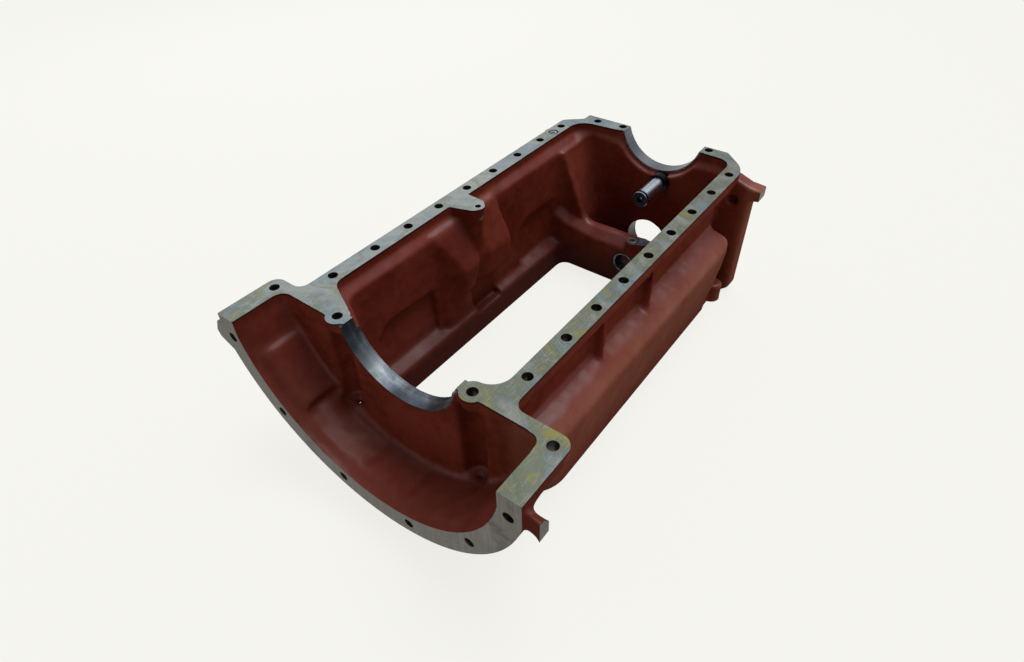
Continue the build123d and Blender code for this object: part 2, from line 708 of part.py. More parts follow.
def bell_holes():
    cuts = []
    for i in range(BELL_BOLT_COUNT):
        angle = radians((i - (BELL_BOLT_COUNT - 1) / 2) * BELL_BOLT_STEP)
        x = BELL_BOLT_R * sin(angle)
        z = AXIS_HEIGHT - BELL_BOLT_R * cos(angle)
        cuts.append(rod_y(x, z, BOLT_DIA / 2, -5, BELL_FLANGE_T + 6))
    return cuts


def front_holes():
    cuts = [rod_y(0, -SHAFT_Z, SHAFT_HOLE_R, FRONT_WALL_Y - 20, LENGTH + 5)]
    cuts.append(rod_y(BUSH_X, -SHAFT_Z, BUSH_OUT_R, BEAM_Y - 20, BUSH_SEAT_Y))
    cuts.append(rod_y(BUSH_X, -SHAFT_Z, BUSH_IN_R + 1, BEAM_Y, CHAMBER_Y + 10))
    cuts.append(rod_y(PIN_X, -PIN_Z, PIN_R, FRONT_WALL_Y - 20, FRONT_WALL_Y + PIN_SEAT))
    cuts.append(rod_z(13, BEAM_Y + 8, 4.2, -BEAM_TOP - 18, -BEAM_TOP + 16))
    for side in (-1, 1):
        cuts.append(rod_y(side * LUG_BOLT_X, -LUG_BOLT_Z, LUG_BOLT_R, FLANGE_Y - 5, LENGTH - LUG_BOLT_END))
        cuts.append(rod_z(side * FOOT_X, FOOT_Y, FOOT_HOLE_R, -DEPTH - 5, -DEPTH + 25))
    cuts.append(rod_z(-PLUG_X, PLUG_Y, PLUG_R, -PLUG_LENGTH, 5))
    return cuts


# ----------------------------------------------------------------- the pieces
def rough_casting():
    """Outer shapes joined, then the large hollows cut out."""
    body = rim()
    for solid in (neck(), sump(), bell(), chamber_shell(), front_flange(), front_foot()):
        body += solid
    for solid in rear_lugs() + gussets():
        body += solid
    body += plug_boss()
    body -= trough_void()
    for void in crankcase_void():
        body -= void
    body -= chamber_void()
    return body


def pan_casting():
    """The whole casting with its inner shapes, seats and holes."""
    body = rough_casting()
    for solid in beam():
        body += solid
    body -= bulkhead_gap()
    body += screw_boss()
    for solid in lobes() + floor_panels() + pads():
        body += solid
    body += tab()
    body += seat_lip()
    for cut in floor_grooves() + channels() + seats():
        body -= cut
    body -= ledge_notch()
    for cut in joint_holes() + bell_holes() + front_holes():
        body -= cut
    limit = block(-BIG, BIG, -BIG, BIG * 3, -DEPTH, 0)
    return body & limit


def idler_pin():
    """Ground pin pressed into the front wall, with a collar and a low head."""
    back = PIN_TIP_Y + PIN_HEAD_T
    journal = back + PIN_GROOVE_T
    head = rod_y(PIN_X, -PIN_Z, PIN_HEAD_R, PIN_TIP_Y, back)
    head = chamfer(head.edges().filter_by(GeomType.CIRCLE), 1.2)
    pin = rod_y(PIN_X, -PIN_Z, PIN_R - 1.8, back - 1, journal + 1)
    pin += rod_y(PIN_X, -PIN_Z, PIN_R - FIT_GAP, journal, FRONT_WALL_Y + PIN_SEAT)
    pin += rod_y(PIN_X, -PIN_Z, PIN_COLLAR_R, FRONT_WALL_Y - PIN_COLLAR_T, FRONT_WALL_Y)
    recess = rod_y(PIN_X, -PIN_Z, 5.5, PIN_TIP_Y - 1, PIN_TIP_Y + 3)
    centre = rod_y(PIN_X, -PIN_Z, 3, PIN_TIP_Y - 1, PIN_TIP_Y + 12)
    return head + pin - recess - centre


def rail_plug():
    """Slotted plug, flush with the left rail."""
    plug = rod_z(-PLUG_X, PLUG_Y, PLUG_R - FIT_GAP, -PLUG_LENGTH, 0)
    top = plug.edges().filter_by(GeomType.CIRCLE).sort_by(Axis.Z)[-1:]
    plug = chamfer(top, 0.8)
    slot = block(-PLUG_X - PLUG_R, -PLUG_X + PLUG_R, PLUG_Y - 1.2, PLUG_Y + 1.2, -2.5, 1)
    return plug - slot


def shaft_bush():
    """Plain bush in the cross beam, with a chamfered bore."""
    start = BEAM_Y + 1
    bush = rod_y(BUSH_X, -SHAFT_Z, BUSH_OUT_R - FIT_GAP, start, BUSH_SEAT_Y)
    bush -= rod_y(BUSH_X, -SHAFT_Z, BUSH_IN_R, start - 1, BUSH_SEAT_Y + 1)
    rings = bush.edges().filter_by(GeomType.CIRCLE).sort_by(Axis.Y)
    return chamfer(rings[:2], 1)


def place(shape):
    """Moves a shape so that Z is counted from the crank axis."""
    return Pos(0, 0, -AXIS_HEIGHT) * shape


if __name__ == "__main__":
    os.makedirs("parts", exist_ok=True)
    export_step(place(pan_casting()), "parts/pan_casting.step")
    export_step(place(idler_pin()), "parts/idler_pin.step")
    export_step(place(rail_plug()), "parts/rail_plug.step")
    export_step(place(shaft_bush()), "parts/shaft_bush.step")
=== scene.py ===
# %% [markdown]
# # Engine oil pan
# A heavy grey-iron pan closes the crankcase of an engine from below.  It is
# cast rough, painted red-brown and then machined bright where it meets its
# neighbours.  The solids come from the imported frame; this lesson dresses them.

# %% Load the frame
import math

import bmesh
import bpy
import numpy as np
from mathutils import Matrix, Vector


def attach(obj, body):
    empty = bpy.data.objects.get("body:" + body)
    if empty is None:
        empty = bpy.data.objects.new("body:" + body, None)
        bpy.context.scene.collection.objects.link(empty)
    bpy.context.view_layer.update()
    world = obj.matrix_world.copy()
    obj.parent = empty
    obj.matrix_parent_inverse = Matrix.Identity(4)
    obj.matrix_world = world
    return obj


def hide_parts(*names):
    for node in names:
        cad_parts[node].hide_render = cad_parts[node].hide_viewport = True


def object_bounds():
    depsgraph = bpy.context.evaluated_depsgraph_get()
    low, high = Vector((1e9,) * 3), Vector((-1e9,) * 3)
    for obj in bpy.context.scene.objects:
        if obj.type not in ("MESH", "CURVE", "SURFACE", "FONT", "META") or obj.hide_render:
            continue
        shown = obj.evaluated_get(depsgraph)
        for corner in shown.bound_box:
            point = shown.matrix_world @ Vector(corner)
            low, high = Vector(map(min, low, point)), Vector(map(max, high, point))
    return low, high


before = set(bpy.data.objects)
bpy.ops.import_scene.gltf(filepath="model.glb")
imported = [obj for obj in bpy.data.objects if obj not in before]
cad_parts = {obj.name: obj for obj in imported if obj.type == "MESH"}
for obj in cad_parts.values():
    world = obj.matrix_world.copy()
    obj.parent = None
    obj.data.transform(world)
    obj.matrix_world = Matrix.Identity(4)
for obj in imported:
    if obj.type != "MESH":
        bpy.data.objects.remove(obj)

MM = 0.001
cad_low, cad_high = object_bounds()
print("CAD box", [round(v, 4) for v in cad_low], [round(v, 4) for v in cad_high])

# %% [markdown]
# ## The camera
# A long part looks right only from the place the eye would be at: close, above
# and to the right of the rear flange.  A short lens from close by gives the
# strong taper of the sides.  The angles are the camera's own turn, and the
# tiny shift is what is left of the framing.

# %% Camera
scene = bpy.context.scene
camera = bpy.data.objects.new("camera", bpy.data.cameras.new("camera"))
scene.collection.objects.link(camera)
camera.location = (0.42442, -0.25622, 0.48270)
camera.rotation_euler = [math.radians(turn) for turn in (48.1285, 1.6779, 37.3181)]
camera.data.sensor_width = 36.0
camera.data.lens = 22.845
camera.data.shift_x = 0.00677
camera.data.shift_y = -0.00269
scene.camera = camera
scene.view_settings.view_transform = "Standard"
print("camera at", [round(v, 3) for v in camera.location], "lens", camera.data.lens)

# %% [markdown]
# ## Shader sums as Python sums
# A finish is a sum of masks and patterns.  Written as Python expressions it
# stays short: the class below wraps a node output, and each operator adds one
# Math node.  Every other node comes from one method of the recipe.


# %% Sockets that can be added and multiplied
class Socket:
    """A node output that can be used in sums with numbers and other outputs."""

    def __init__(self, recipe, out):
        self.recipe = recipe
        self.out = out

    def math(self, operation, *others):
        inputs = {i + 1: value for i, value in enumerate(others)}
        return self.recipe.node("Math", {"operation": operation}, {0: self, **inputs})

    def __add__(self, other):
        return self.math("ADD", other)

    def __sub__(self, other):
        return self.math("SUBTRACT", other)

    def __mul__(self, other):
        return self.math("MULTIPLY", other)

    def __rsub__(self, other):
        return self.recipe.node("Math", {"operation": "SUBTRACT"}, {0: other, 1: self})

    __radd__ = __add__
    __rmul__ = __mul__


# %% Recipes for finishes
class Recipe:
    """A material and the short names for the nodes that its finish needs."""

    def __init__(self, name):
        self.material = bpy.data.materials.new(name)
        self.material.use_nodes = True
        self.tree = self.material.node_tree
        self.shader = self.tree.nodes["Principled BSDF"]
        self.place = self.node("TexCoord", out="Object")
        split = self.tree.nodes.new("ShaderNodeSeparateXYZ")
        self.feed(split.inputs[0], self.place)
        self.x, self.y, self.z = [Socket(self, out) for out in split.outputs]

    def feed(self, socket, value):
        """Links an output to the socket, or sets the socket to a plain value."""
        if isinstance(value, Socket):
            self.tree.links.new(value.out, socket)
        elif isinstance(value, tuple) and len(value) == 3 and socket.type == "RGBA":
            socket.default_value = (*value, 1.0)
        else:
            socket.default_value = value

    def node(self, kind, settings=None, inputs=None, out=0):
        """Adds one node: its type, its settings, the values or links of its sockets."""
        made = self.tree.nodes.new("ShaderNode" + kind)
        for key, value in (settings or {}).items():
            setattr(made, key, value)
        for key, value in (inputs or {}).items():
            self.feed(made.inputs[key], value)
        return Socket(self, made.outputs[out])

    def noise(self, scale, detail=3.0, roughness=0.5, place=None, distortion=0.0):
        """Cloudy pattern from 0 to 1: more scale, finer; more detail, rougher edges."""
        inputs = {"Vector": place or self.place, "Scale": scale, "Detail": detail}
        inputs.update({"Roughness": roughness, "Distortion": distortion})
        return self.node("TexNoise", None, inputs)

    def cells(self, place, scale):
        """Distance to the nearest of many scattered points: 0 at a point."""
        return self.node("TexVoronoi", {"feature": "F1"}, {"Vector": place, "Scale": scale})

    def stretch(self, scales, turn=0.0):
        """Object coordinates, turned about Z and scaled by a number per axis."""
        inputs = {"Vector": self.place, "Rotation": (0, 0, turn), "Scale": scales}
        return self.node("Mapping", None, inputs)

    def band(self, value, low, high):
        """0 below low, 1 above high, and a smooth rise in between."""
        settings = {"interpolation_type": "SMOOTHSTEP"}
        inputs = {"Value": value, "From Min": low, "From Max": high}
        return self.node("MapRange", settings, inputs)

    def mix(self, first, second, factor):
        """Colour that goes from the first to the second as factor goes from 0 to 1."""
        return self.node("Mix", {"data_type": "RGBA"}, {0: factor, 6: first, 7: second}, out=2)

    def bump(self, height, depth, strength=1.0, normal=None):
        """Tilts the normal as if height times depth were real relief."""
        inputs = {"Height": height, "Distance": depth, "Strength": strength}
        if normal:
            inputs["Normal"] = normal
        return self.node("Bump", None, inputs)

    def finish(self, **inputs):
        """Feeds the shader's sockets by name and hands back the material."""
        for key, value in inputs.items():
            self.feed(self.shader.inputs[key.replace("_", " ")], value)
        print("finish", self.material.name, "has", len(self.tree.nodes), "nodes")
        return self.material


# %% [markdown]
# ## The painted iron
# Red-brown enamel over sand-cast iron, with an orange-peel skin and the slow
# waves of the mould below it.  What faces up is greyed partly by dust and partly
# by painted sheen, the sky's glint in the glossy paint.  Three tints go by place
# and stand in for light, not for paint: paler on the right outside, darker in the
# trough and low in the hollow, where these lamps give too little or too much.
# The gloss is a coat on what faces up, for the same reason.  A scene lit in
# another way would leave them out.

# %% Cast paint
PAINT_RED = (0.195, 0.034, 0.018)
PAINT_DARK = (0.125, 0.019, 0.010)
DUST_AND_SHEEN = (0.230, 0.070, 0.062)
OUTSIDE_PAINTED_LIGHT = (0.270, 0.085, 0.045)
RIM_PAINTED_SHADOW = (0.018, 0.008, 0.006)
SPECK_DARK = (0.03, 0.012, 0.01)
SHADE_DEEP = (0.045, 0.014, 0.011)
SHADE_TROUGH = (0.085, 0.018, 0.011)
FACES_UP = (0.05, 0.8)
TROUGH_END_Y = (0.066, 0.072)
OUTSIDE_X, OUTSIDE_Y = (0.150, 0.168), (0.02, 0.10)
RIM_Z = (-0.0250, -0.0212)
DEEP_Z, DEEP_Y, DEEP_X = (-0.235, -0.185), (0.09, 0.12), (0.13, 0.15)


def cast_paint():
    r = Recipe("cast_paint")
    broad = r.noise(9.0, 4.0, 0.6)
    fine = r.noise(70.0, 4.0, 0.6)
    colour = r.mix(PAINT_DARK, PAINT_RED, r.band(broad * 0.6 + fine * 0.4, 0.34, 0.62))
    up = r.node("SeparateXYZ", None, {0: r.node("NewGeometry", out="Normal")}, out=2)
    patchy = r.band(r.noise(14.0, 5.0, 0.65), 0.3, 0.7)
    trough = 1 - r.band(r.y, *TROUGH_END_Y)
    # Partly dust, partly painted sheen: what faces up turns a paler, pinker red.
    dust_and_sheen = r.band(up, *FACES_UP) * (patchy * 0.7 + 0.3) * (1 - trough * 0.5)
    colour = r.mix(colour, DUST_AND_SHEEN, dust_and_sheen * 0.5)
    # Painted light: the right outer flank is paler than its paint.
    outside = r.band(r.x, *OUTSIDE_X) * r.band(r.y, *OUTSIDE_Y)
    colour = r.mix(colour, OUTSIDE_PAINTED_LIGHT, outside * (patchy * 0.35 + 0.4))
    # Painted shadow: a dark line just under the edge of the joint face, broken up by noise.
    rim_shadow = r.band(r.z, *RIM_Z) * r.band(fine, 0.30, 0.52)
    colour = r.mix(colour, RIM_PAINTED_SHADOW, rim_shadow * 0.85)
    specks = r.band(r.noise(420.0, 2.0, 0.5), 0.70, 0.76)
    colour = r.mix(colour, SPECK_DARK, specks * 0.6)
    roughness = r.noise(40.0, 3.0, 0.6) * 0.22 + 0.30 + dust_and_sheen * 0.1
    low = 1 - r.band(r.z, *DEEP_Z)
    deep = low * r.band(r.y, *DEEP_Y) * (1 - r.band(r.x, *DEEP_X))
    colour = r.mix(colour, SHADE_DEEP, deep * (broad * 0.5 + 0.45))
    colour = r.mix(colour, SHADE_TROUGH, trough * 0.45)
    shaded = (1 - deep * 0.7) * (1 - trough * 0.55)
    gloss = r.band(up, *FACES_UP) * (patchy * 0.3 + 0.45) * shaded + 0.04
    waves = r.bump(r.noise(55.0, 2.0, 0.5), 0.6 * MM, 0.22)
    peel = r.bump(r.noise(330.0, 3.0, 0.6), 0.16 * MM, 0.6, waves)
    return r.finish(
        Base_Color=colour,
        Roughness=roughness,
        Normal=peel,
        Specular_IOR_Level=0.0,
        Coat_Weight=gloss,
        Coat_Roughness=0.36,
    )


paint = cast_paint()

# %% [markdown]
# ## The joint face
# A face mill as wide as the pan leaves pale iron with fine arcs across it.  Each
# pass of the cutter shifts them a little, so every so often their grey changes
# along one of the arcs.  Oil and rust preventer dry on it as blue-grey bloom and
# yellow-green patches, most of them on the right rail.

# %% Milled face
MILL_GREY = (0.200, 0.206, 0.170)
MILL_LEFT_REFLECTION = (0.240, 0.262, 0.248)
MILL_BLUE = (0.120, 0.180, 0.225)
MILL_PALE = (0.33, 0.35, 0.31)
OIL_YELLOW = (0.265, 0.235, 0.045)
OIL_GREEN = (0.100, 0.115, 0.055)
PASS_SHADE = (0.10, 0.105, 0.085)
STAIN_DARK = (0.08, 0.085, 0.07)
SCRATCH_PALE = (0.48, 0.50, 0.46)
PIT_DARK = (0.03, 0.03, 0.025)
CUTTER_R = 0.32
RIGHT_X, REARMOST_Y = (-0.05, 0.10), (0.10, 0.30)


def milled_face():
    """Arcs: points with the same y minus root of cutter radius squared minus x
    squared lie on one arc of the cutter."""
    r = Recipe("milled_face")
    arc = r.y - (CUTTER_R * CUTTER_R - r.x * r.x).math("SQRT")
    along = r.node("CombineXYZ", None, {0: arc * 1000, 1: r.x * 26, 2: r.z})
    wide = r.node("CombineXYZ", None, {0: arc * 60, 1: r.x * 2, 2: r.z})
    lines = r.noise(1.0, 3.0, 0.6, along)
    passes = r.noise(1.0, 1.0, 0.4, wide)
    right = r.band(r.x, *RIGHT_X)
    bloom = r.band(r.noise(13.0, 4.0, 0.6, distortion=0.6), 0.44, 0.58)
    # Painted reflection: the left rail is a paler, bluer grey than the right.
    colour = r.mix(r.mix(MILL_LEFT_REFLECTION, MILL_GREY, right), MILL_BLUE, bloom * 0.7)
    shift = r.band(passes, 0.50, 0.58) * (0.20 + right * 0.2)
    colour = r.mix(colour, PASS_SHADE, shift)
    colour = r.mix(colour, MILL_PALE, r.band(lines, 0.50, 0.72) * 0.55)
    rearmost = 1 - r.band(r.y, *REARMOST_Y)
    wet = r.noise(19.0, 5.0, 0.65, distortion=1.0) + right * 0.04 + rearmost * 0.03
    colour = r.mix(colour, OIL_GREEN, r.band(wet, 0.49, 0.60) * 0.6)
    colour = r.mix(colour, OIL_YELLOW, r.band(wet, 0.58, 0.72) * 0.75)
    stains = r.noise(60.0, 5.0, 0.7, distortion=1.5)
    colour = r.mix(colour, STAIN_DARK, r.band(stains, 0.64, 0.74) * 0.5)
    scratches = r.noise(1.0, 2.0, 0.5, r.stretch((1500, 60, 60), 0.7))
    colour = r.mix(colour, SCRATCH_PALE, r.band(scratches, 0.60, 0.72) * 0.5)
    pits = r.cells(r.place, 210.0)
    colour = r.mix(colour, PIT_DARK, r.band(pits, 0.14, 0.07) * 0.8)
    roughness = 0.40 + lines * 0.2 - r.band(wet, 0.5, 0.7) * 0.1
    marks = r.bump(lines, 0.04 * MM, 0.6)
    return r.finish(Base_Color=colour, Roughness=roughness, Normal=marks, Metallic=0.3)


milled = milled_face()

# %% [markdown]
# ## Faces, seats and bores
# The end faces are milled on edge, which leaves streaks from top to bottom, and
# handling leaves nicks.  The seal seats are bored round the crank axis, so their
# fine rings follow y.  The bolt holes are drilled, and their near black is partly
# oil and partly painted shade inside the holes.

# %% Rear face
REAR_GREY = (0.145, 0.130, 0.100)
REAR_STREAK = (0.215, 0.200, 0.165)
REAR_STAIN = (0.045, 0.035, 0.026)
NICK_DARK = (0.015, 0.012, 0.010)
LUG_END_DARK = (0.055, 0.048, 0.040)
LUG_END_X = (0.235, 0.245)


def rear_face():
    r = Recipe("rear_face")
    streaks = r.noise(1.0, 4.0, 0.65, r.stretch((120, 120, 12)))
    stain = r.noise(16.0, 5.0, 0.65, distortion=0.8)
    colour = r.mix(REAR_GREY, REAR_STREAK, r.band(streaks, 0.45, 0.65))
    colour = r.mix(colour, REAR_STAIN, r.band(stain, 0.54, 0.72) * 0.8)
    nicks = r.cells(r.stretch((150, 150, 60)), 1.0)
    colour = r.mix(colour, NICK_DARK, r.band(nicks, 0.16, 0.07) * 0.8)
    colour = r.mix(colour, LUG_END_DARK, r.band(r.x, *LUG_END_X) * 0.7)
    return r.finish(
        Base_Color=colour,
        Roughness=0.42 + streaks * 0.2,
        Normal=r.bump(streaks, 0.05 * MM, 0.5),
        Metallic=0.35,
    )


rear = rear_face()


# %% Seal seats
SEAT_DARK, SEAT_PALE = (0.045, 0.055, 0.072), (0.125, 0.142, 0.155)
SEAT_OIL = (0.085, 0.080, 0.030)
SEAT_PAINTED_HIGHLIGHT, SEAT_FRONT = (0.26, 0.29, 0.31), (0.22, 0.235, 0.25)
FRONT_HALF_Y = (0.4, 0.5)
HIGHLIGHT_FROM_Y, HIGHLIGHT_TO_Y = (0.074, 0.088), (0.094, 0.110)


def turned_seat():
    r = Recipe("turned_seat")
    rings = r.noise(1.0, 2.0, 0.5, r.stretch((6, 1500, 6)))
    cloud = r.noise(20.0, 4.0, 0.6, distortion=0.5)
    front = r.band(r.y, *FRONT_HALF_Y)
    colour = r.mix(SEAT_DARK, SEAT_PALE, r.band(cloud, 0.4, 0.65))
    oil = r.band(r.noise(26.0, 4.0, 0.6), 0.58, 0.70)
    colour = r.mix(colour, SEAT_OIL, oil * 0.7)
    # Painted highlight: a pale streak along the rear seat, between these two values of y.
    middle = r.band(r.y, *HIGHLIGHT_FROM_Y) * (1 - r.band(r.y, *HIGHLIGHT_TO_Y))
    colour = r.mix(colour, SEAT_PAINTED_HIGHLIGHT, middle * r.band(rings + cloud, 0.9, 1.15) * 0.6)
    colour = r.mix(colour, SEAT_FRONT, front * 0.8)
    return r.finish(
        Base_Color=colour,
        Roughness=0.28 + rings * 0.2,
        Normal=r.bump(rings, 0.04 * MM, 0.6),
        Metallic=0.75,
    )


seat_metal = turned_seat()


# %% Bores
BORE_OIL_AND_SHADE, BORE_RING = (0.020, 0.019, 0.018), (0.07, 0.06, 0.05)


def oiled_shaded_bore():
    r = Recipe("oiled_shaded_bore")
    rings = r.noise(1.0, 2.0, 0.5, r.stretch((60, 60, 900)))
    # Partly oil, partly painted shade: the bore walls are nearly black.
    colour = r.mix(BORE_OIL_AND_SHADE, BORE_RING, r.band(rings, 0.4, 0.7))
    return r.finish(Base_Color=colour, Roughness=0.3 + rings * 0.2, Metallic=0.6,
                    Normal=r.bump(rings, 0.06 * MM, 0.7))


bore_metal = oiled_shaded_bore()


# %% Boss top
BOSS_DARK, BOSS_PALE = (0.045, 0.044, 0.066), (0.110, 0.108, 0.140)


def faced_boss():
    r = Recipe("faced_boss")
    cloud = r.noise(90.0, 4.0, 0.6)
    colour = r.mix(BOSS_DARK, BOSS_PALE, r.band(cloud, 0.35, 0.65))
    return r.finish(Base_Color=colour, Roughness=0.32 + cloud * 0.2, Metallic=0.5,
                    Normal=r.bump(cloud, 0.04 * MM, 0.5))


boss_metal = faced_boss()

# %% [markdown]
# ## A soft skin for a hard solid
# Sand casting rounds every edge that no cutter touches.  The solid has sharp
# ones, so its skin is made again: a fine even mesh of the solid (voxel remesh),
# laid back on the true surface, then relaxed, so that only the cast parts melt.
# What a cutter has touched must stay flat and crisp: those points are pinned.

# %% Where the cutters have been
VOXEL = 1.6 * MM
TOP_Z, BOTTOM_Z, FRONT_Y = -0.020, -0.265, 0.731
REAR_SEAT_R, REAR_SEAT_Y = 0.090, (0.0698, 0.125)
FRONT_SEAT_R, FRONT_SEAT_Y = 0.072, 0.7078
BOSS_Z, BOSS_TOPS = -0.164, ((0.015, 0.615, 0.0112), (0.029, 0.622, 0.0122))
REAR_LUG_X, FRONT_LUG_X, FRONT_LUG_Y = 0.246, 0.182, 0.700
JOINT, BOTTOM, REAR, FRONT, REAR_SEAT, FRONT_SEAT, BOSS, LUG, BORE = range(1, 10)
print("kinds of surface that a tool has cut", BORE)


# %% Arrays in and out of a mesh
def read(items, key, width, kind=np.float32):
    """One attribute of all vertices, edges, loops or faces as an array."""
    flat = np.empty(len(items) * width, kind)
    items.foreach_get(key, flat)
    return flat.reshape(-1, width) if width > 1 else flat


def add_object(name, mesh):
    obj = bpy.data.objects.new(name, mesh)
    scene.collection.objects.link(obj)
    return obj


def applied(obj):
    """Replaces the object's mesh by what its modifiers make of it."""
    graph = bpy.context.evaluated_depsgraph_get()
    mesh = bpy.data.meshes.new_from_object(obj.evaluated_get(graph), depsgraph=graph)
    obj.modifiers.clear()
    obj.data = mesh
    return mesh


def nearest(obj, target, method):
    """Where each vertex of obj would land on the target."""
    wrap = obj.modifiers.new("wrap", "SHRINKWRAP")
    wrap.target = target
    wrap.wrap_method = method
    graph = bpy.context.evaluated_depsgraph_get()
    found = read(obj.evaluated_get(graph).to_mesh().vertices, "co", 3).astype(float)
    obj.modifiers.clear()
    return found


# %% Which plane or seat a point lies on
def cut_kind(points, slack=0.03 * MM):
    """0 for cast skin, else the number of the machined surface: joint, bottom,
    rear or front plane, rear or front seat, boss top or lug end.  A seat is where
    the distance from the crank axis, root of x squared plus z squared, equals
    its radius."""
    x, y, z = points.T
    radius = np.hypot(x, z)
    kind = np.zeros(len(points), int)
    kind[abs(z - BOTTOM_Z) < slack] = BOTTOM
    kind[abs(y) < slack] = REAR
    kind[abs(y - FRONT_Y) < slack] = FRONT
    near_rear = (y > REAR_SEAT_Y[0]) & (y < REAR_SEAT_Y[1])
    kind[(abs(radius - REAR_SEAT_R) < 10 * slack) & near_rear] = REAR_SEAT
    kind[(abs(radius - FRONT_SEAT_R) < 10 * slack) & (y > FRONT_SEAT_Y)] = FRONT_SEAT
    kind[abs(z - TOP_Z) < slack] = JOINT
    for bx, by, reach in BOSS_TOPS:
        kind[(abs(z - BOSS_Z) < slack) & (np.hypot(x - bx, y - by) < reach)] = BOSS
    front_end = (abs(abs(x) - FRONT_LUG_X) < slack) & (y > FRONT_LUG_Y)
    kind[(abs(x - REAR_LUG_X) < slack) | front_end] = LUG
    return kind


UP, DOWN, BACK, AHEAD = (0, 0, 1), (0, 0, -1), (0, -1, 0), (0, 1, 0)
LOOKS = {JOINT: UP, BOTTOM: DOWN, REAR: BACK, FRONT: AHEAD, BOSS: UP}
SAME_WAY = 0.97


def cut_faces(mesh, slack=0.15 * MM):
    """The kind of each face, where a plane's face must also look its way."""
    kind = cut_kind(read(mesh.polygons, "center", 3).astype(float), slack)
    normals = read(mesh.polygons, "normal", 3)
    for number, axis in LOOKS.items():
        kind[(kind == number) & (normals @ np.array(axis) < SAME_WAY)] = 0
    return kind


# %% Weld the solid's triangles
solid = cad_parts["pan_casting"]
shell = bmesh.new()
shell.from_mesh(solid.data)
bmesh.ops.remove_doubles(shell, verts=shell.verts, dist=2e-6)
welded = bpy.data.meshes.new("welded")
shell.to_mesh(welded)
shell.free()
print("welded solid", len(welded.polygons), "triangles")


# %% Edges that a cutter has left sharp
SHARP_TURN = math.cos(math.radians(22))


def crisp_points(mesh, spacing=0.4 * MM):
    """Points along the sharp edges of machined faces.  An edge is sharp where the
    dot product of its two normals is below the cosine of the least sharp turn;
    each is then divided evenly."""
    points = read(mesh.vertices, "co", 3).astype(float)
    ends = read(mesh.edges, "vertices", 2, np.int32)
    normals = read(mesh.polygons, "normal", 3)
    kind = cut_faces(mesh)
    face_of_loop = np.repeat(np.arange(len(mesh.polygons)), 3)
    pairs = face_of_loop[np.argsort(read(mesh.loops, "edge_index", 1, np.int32), kind="stable")]
    one, two = pairs.reshape(-1, 2).T
    turned = (normals[one] * normals[two]).sum(1) < SHARP_TURN
    keep = turned & ((kind[one] > 0) | (kind[two] > 0))
    start, end = points[ends[keep, 0]], points[ends[keep, 1]]
    steps = np.ceil(np.linalg.norm(end - start, axis=1) / spacing).astype(int) + 1
    edge = np.repeat(np.arange(len(steps)), steps)
    first = np.cumsum(steps) - steps
    share = ((np.arange(len(edge)) - first[edge]) / (steps[edge] - 1))[:, None]
    return start[edge] * (1 - share) + end[edge] * share


def cloud_object(name, points):
    mesh = bpy.data.meshes.new(name)
    mesh.vertices.add(len(points))
    mesh.vertices.foreach_set("co", points.astype(np.float32).ravel())
    mesh.update()
    return add_object(name, mesh)


edge_cloud = cloud_object("edge_cloud", crisp_points(welded))
print("crisp edge points", len(edge_cloud.data.vertices))

# %% An even skin, laid on the solid
true_surface = add_object("true_surface", welded)
skin = add_object("cast_pan", welded.copy())
even = skin.modifiers.new("even", "REMESH")
even.mode = "VOXEL"
even.voxel_size = VOXEL
applied(skin)
place = nearest(skin, true_surface, "NEAREST_SURFACEPOINT")
print("skin points", len(place))

# %% [markdown]
# ## Pinning the machined edges
# An even mesh cuts corners.  Wherever a mesh edge runs from one machined face
# to another surface without a point on the true edge, its nearer end is moved
# onto the edge, so that the outline of the joint face stays crisp.


# %% Pull points onto the crisp edges
PIN_REACH, CORNER_REACH = 0.62 * VOXEL, 1.6 * VOXEL


def set_points(mesh, place):
    mesh.vertices.foreach_set("co", place.astype(np.float32).ravel())
    mesh.update()


def pinned(mesh, place, on_edge):
    """Points moved onto the crisp edges, and which of them were moved."""
    gap = np.linalg.norm(on_edge - place, axis=1)
    moved = gap < PIN_REACH
    kind = cut_kind(place)
    one, two = read(mesh.edges, "vertices", 2, np.int32).T
    for _ in range(2):
        crossing = (kind[one] != kind[two]) & ~moved[one] & ~moved[two]
        a, b = one[crossing], two[crossing]
        closer = np.where(gap[a] < gap[b], a, b)
        moved[closer[gap[closer] < CORNER_REACH]] = True
    return np.where(moved[:, None], on_edge, place), moved


set_points(skin.data, place)
on_edge = nearest(skin, edge_cloud, "NEAREST_VERTEX")
place, fixed = pinned(skin.data, place, on_edge)
print("points on crisp edges", int(fixed.sum()))

# %% Machined faces alone, to measure the distance from them
cut_only = bmesh.new()
cut_only.from_mesh(welded)
cut_only.faces.ensure_lookup_table()
cast_faces = np.nonzero(cut_faces(welded) == 0)[0]
bmesh.ops.delete(cut_only, geom=[cut_only.faces[i] for i in cast_faces], context="FACES")
cut_mesh = bpy.data.meshes.new("cut_surface")
cut_only.to_mesh(cut_mesh)
cut_only.free()
cut_surface = add_object("cut_surface", cut_mesh)
cut_place = nearest(skin, cut_surface, "NEAREST_SURFACEPOINT")
from_cut = np.linalg.norm(cut_place - place, axis=1)
print("furthest from a machined face mm", round(float(from_cut.max()) / MM, 1))

# %% [markdown]
# ## Melting the cast parts
# Relaxing moves each point towards the middle of its neighbours.  Repeated, it
# spreads like heat: sharp edges become round and inner corners fill up, as sand
# and paint do.  The wedges in the hollow, the trough floor and the gutter beside
# the right rail are the softest, so they get most.

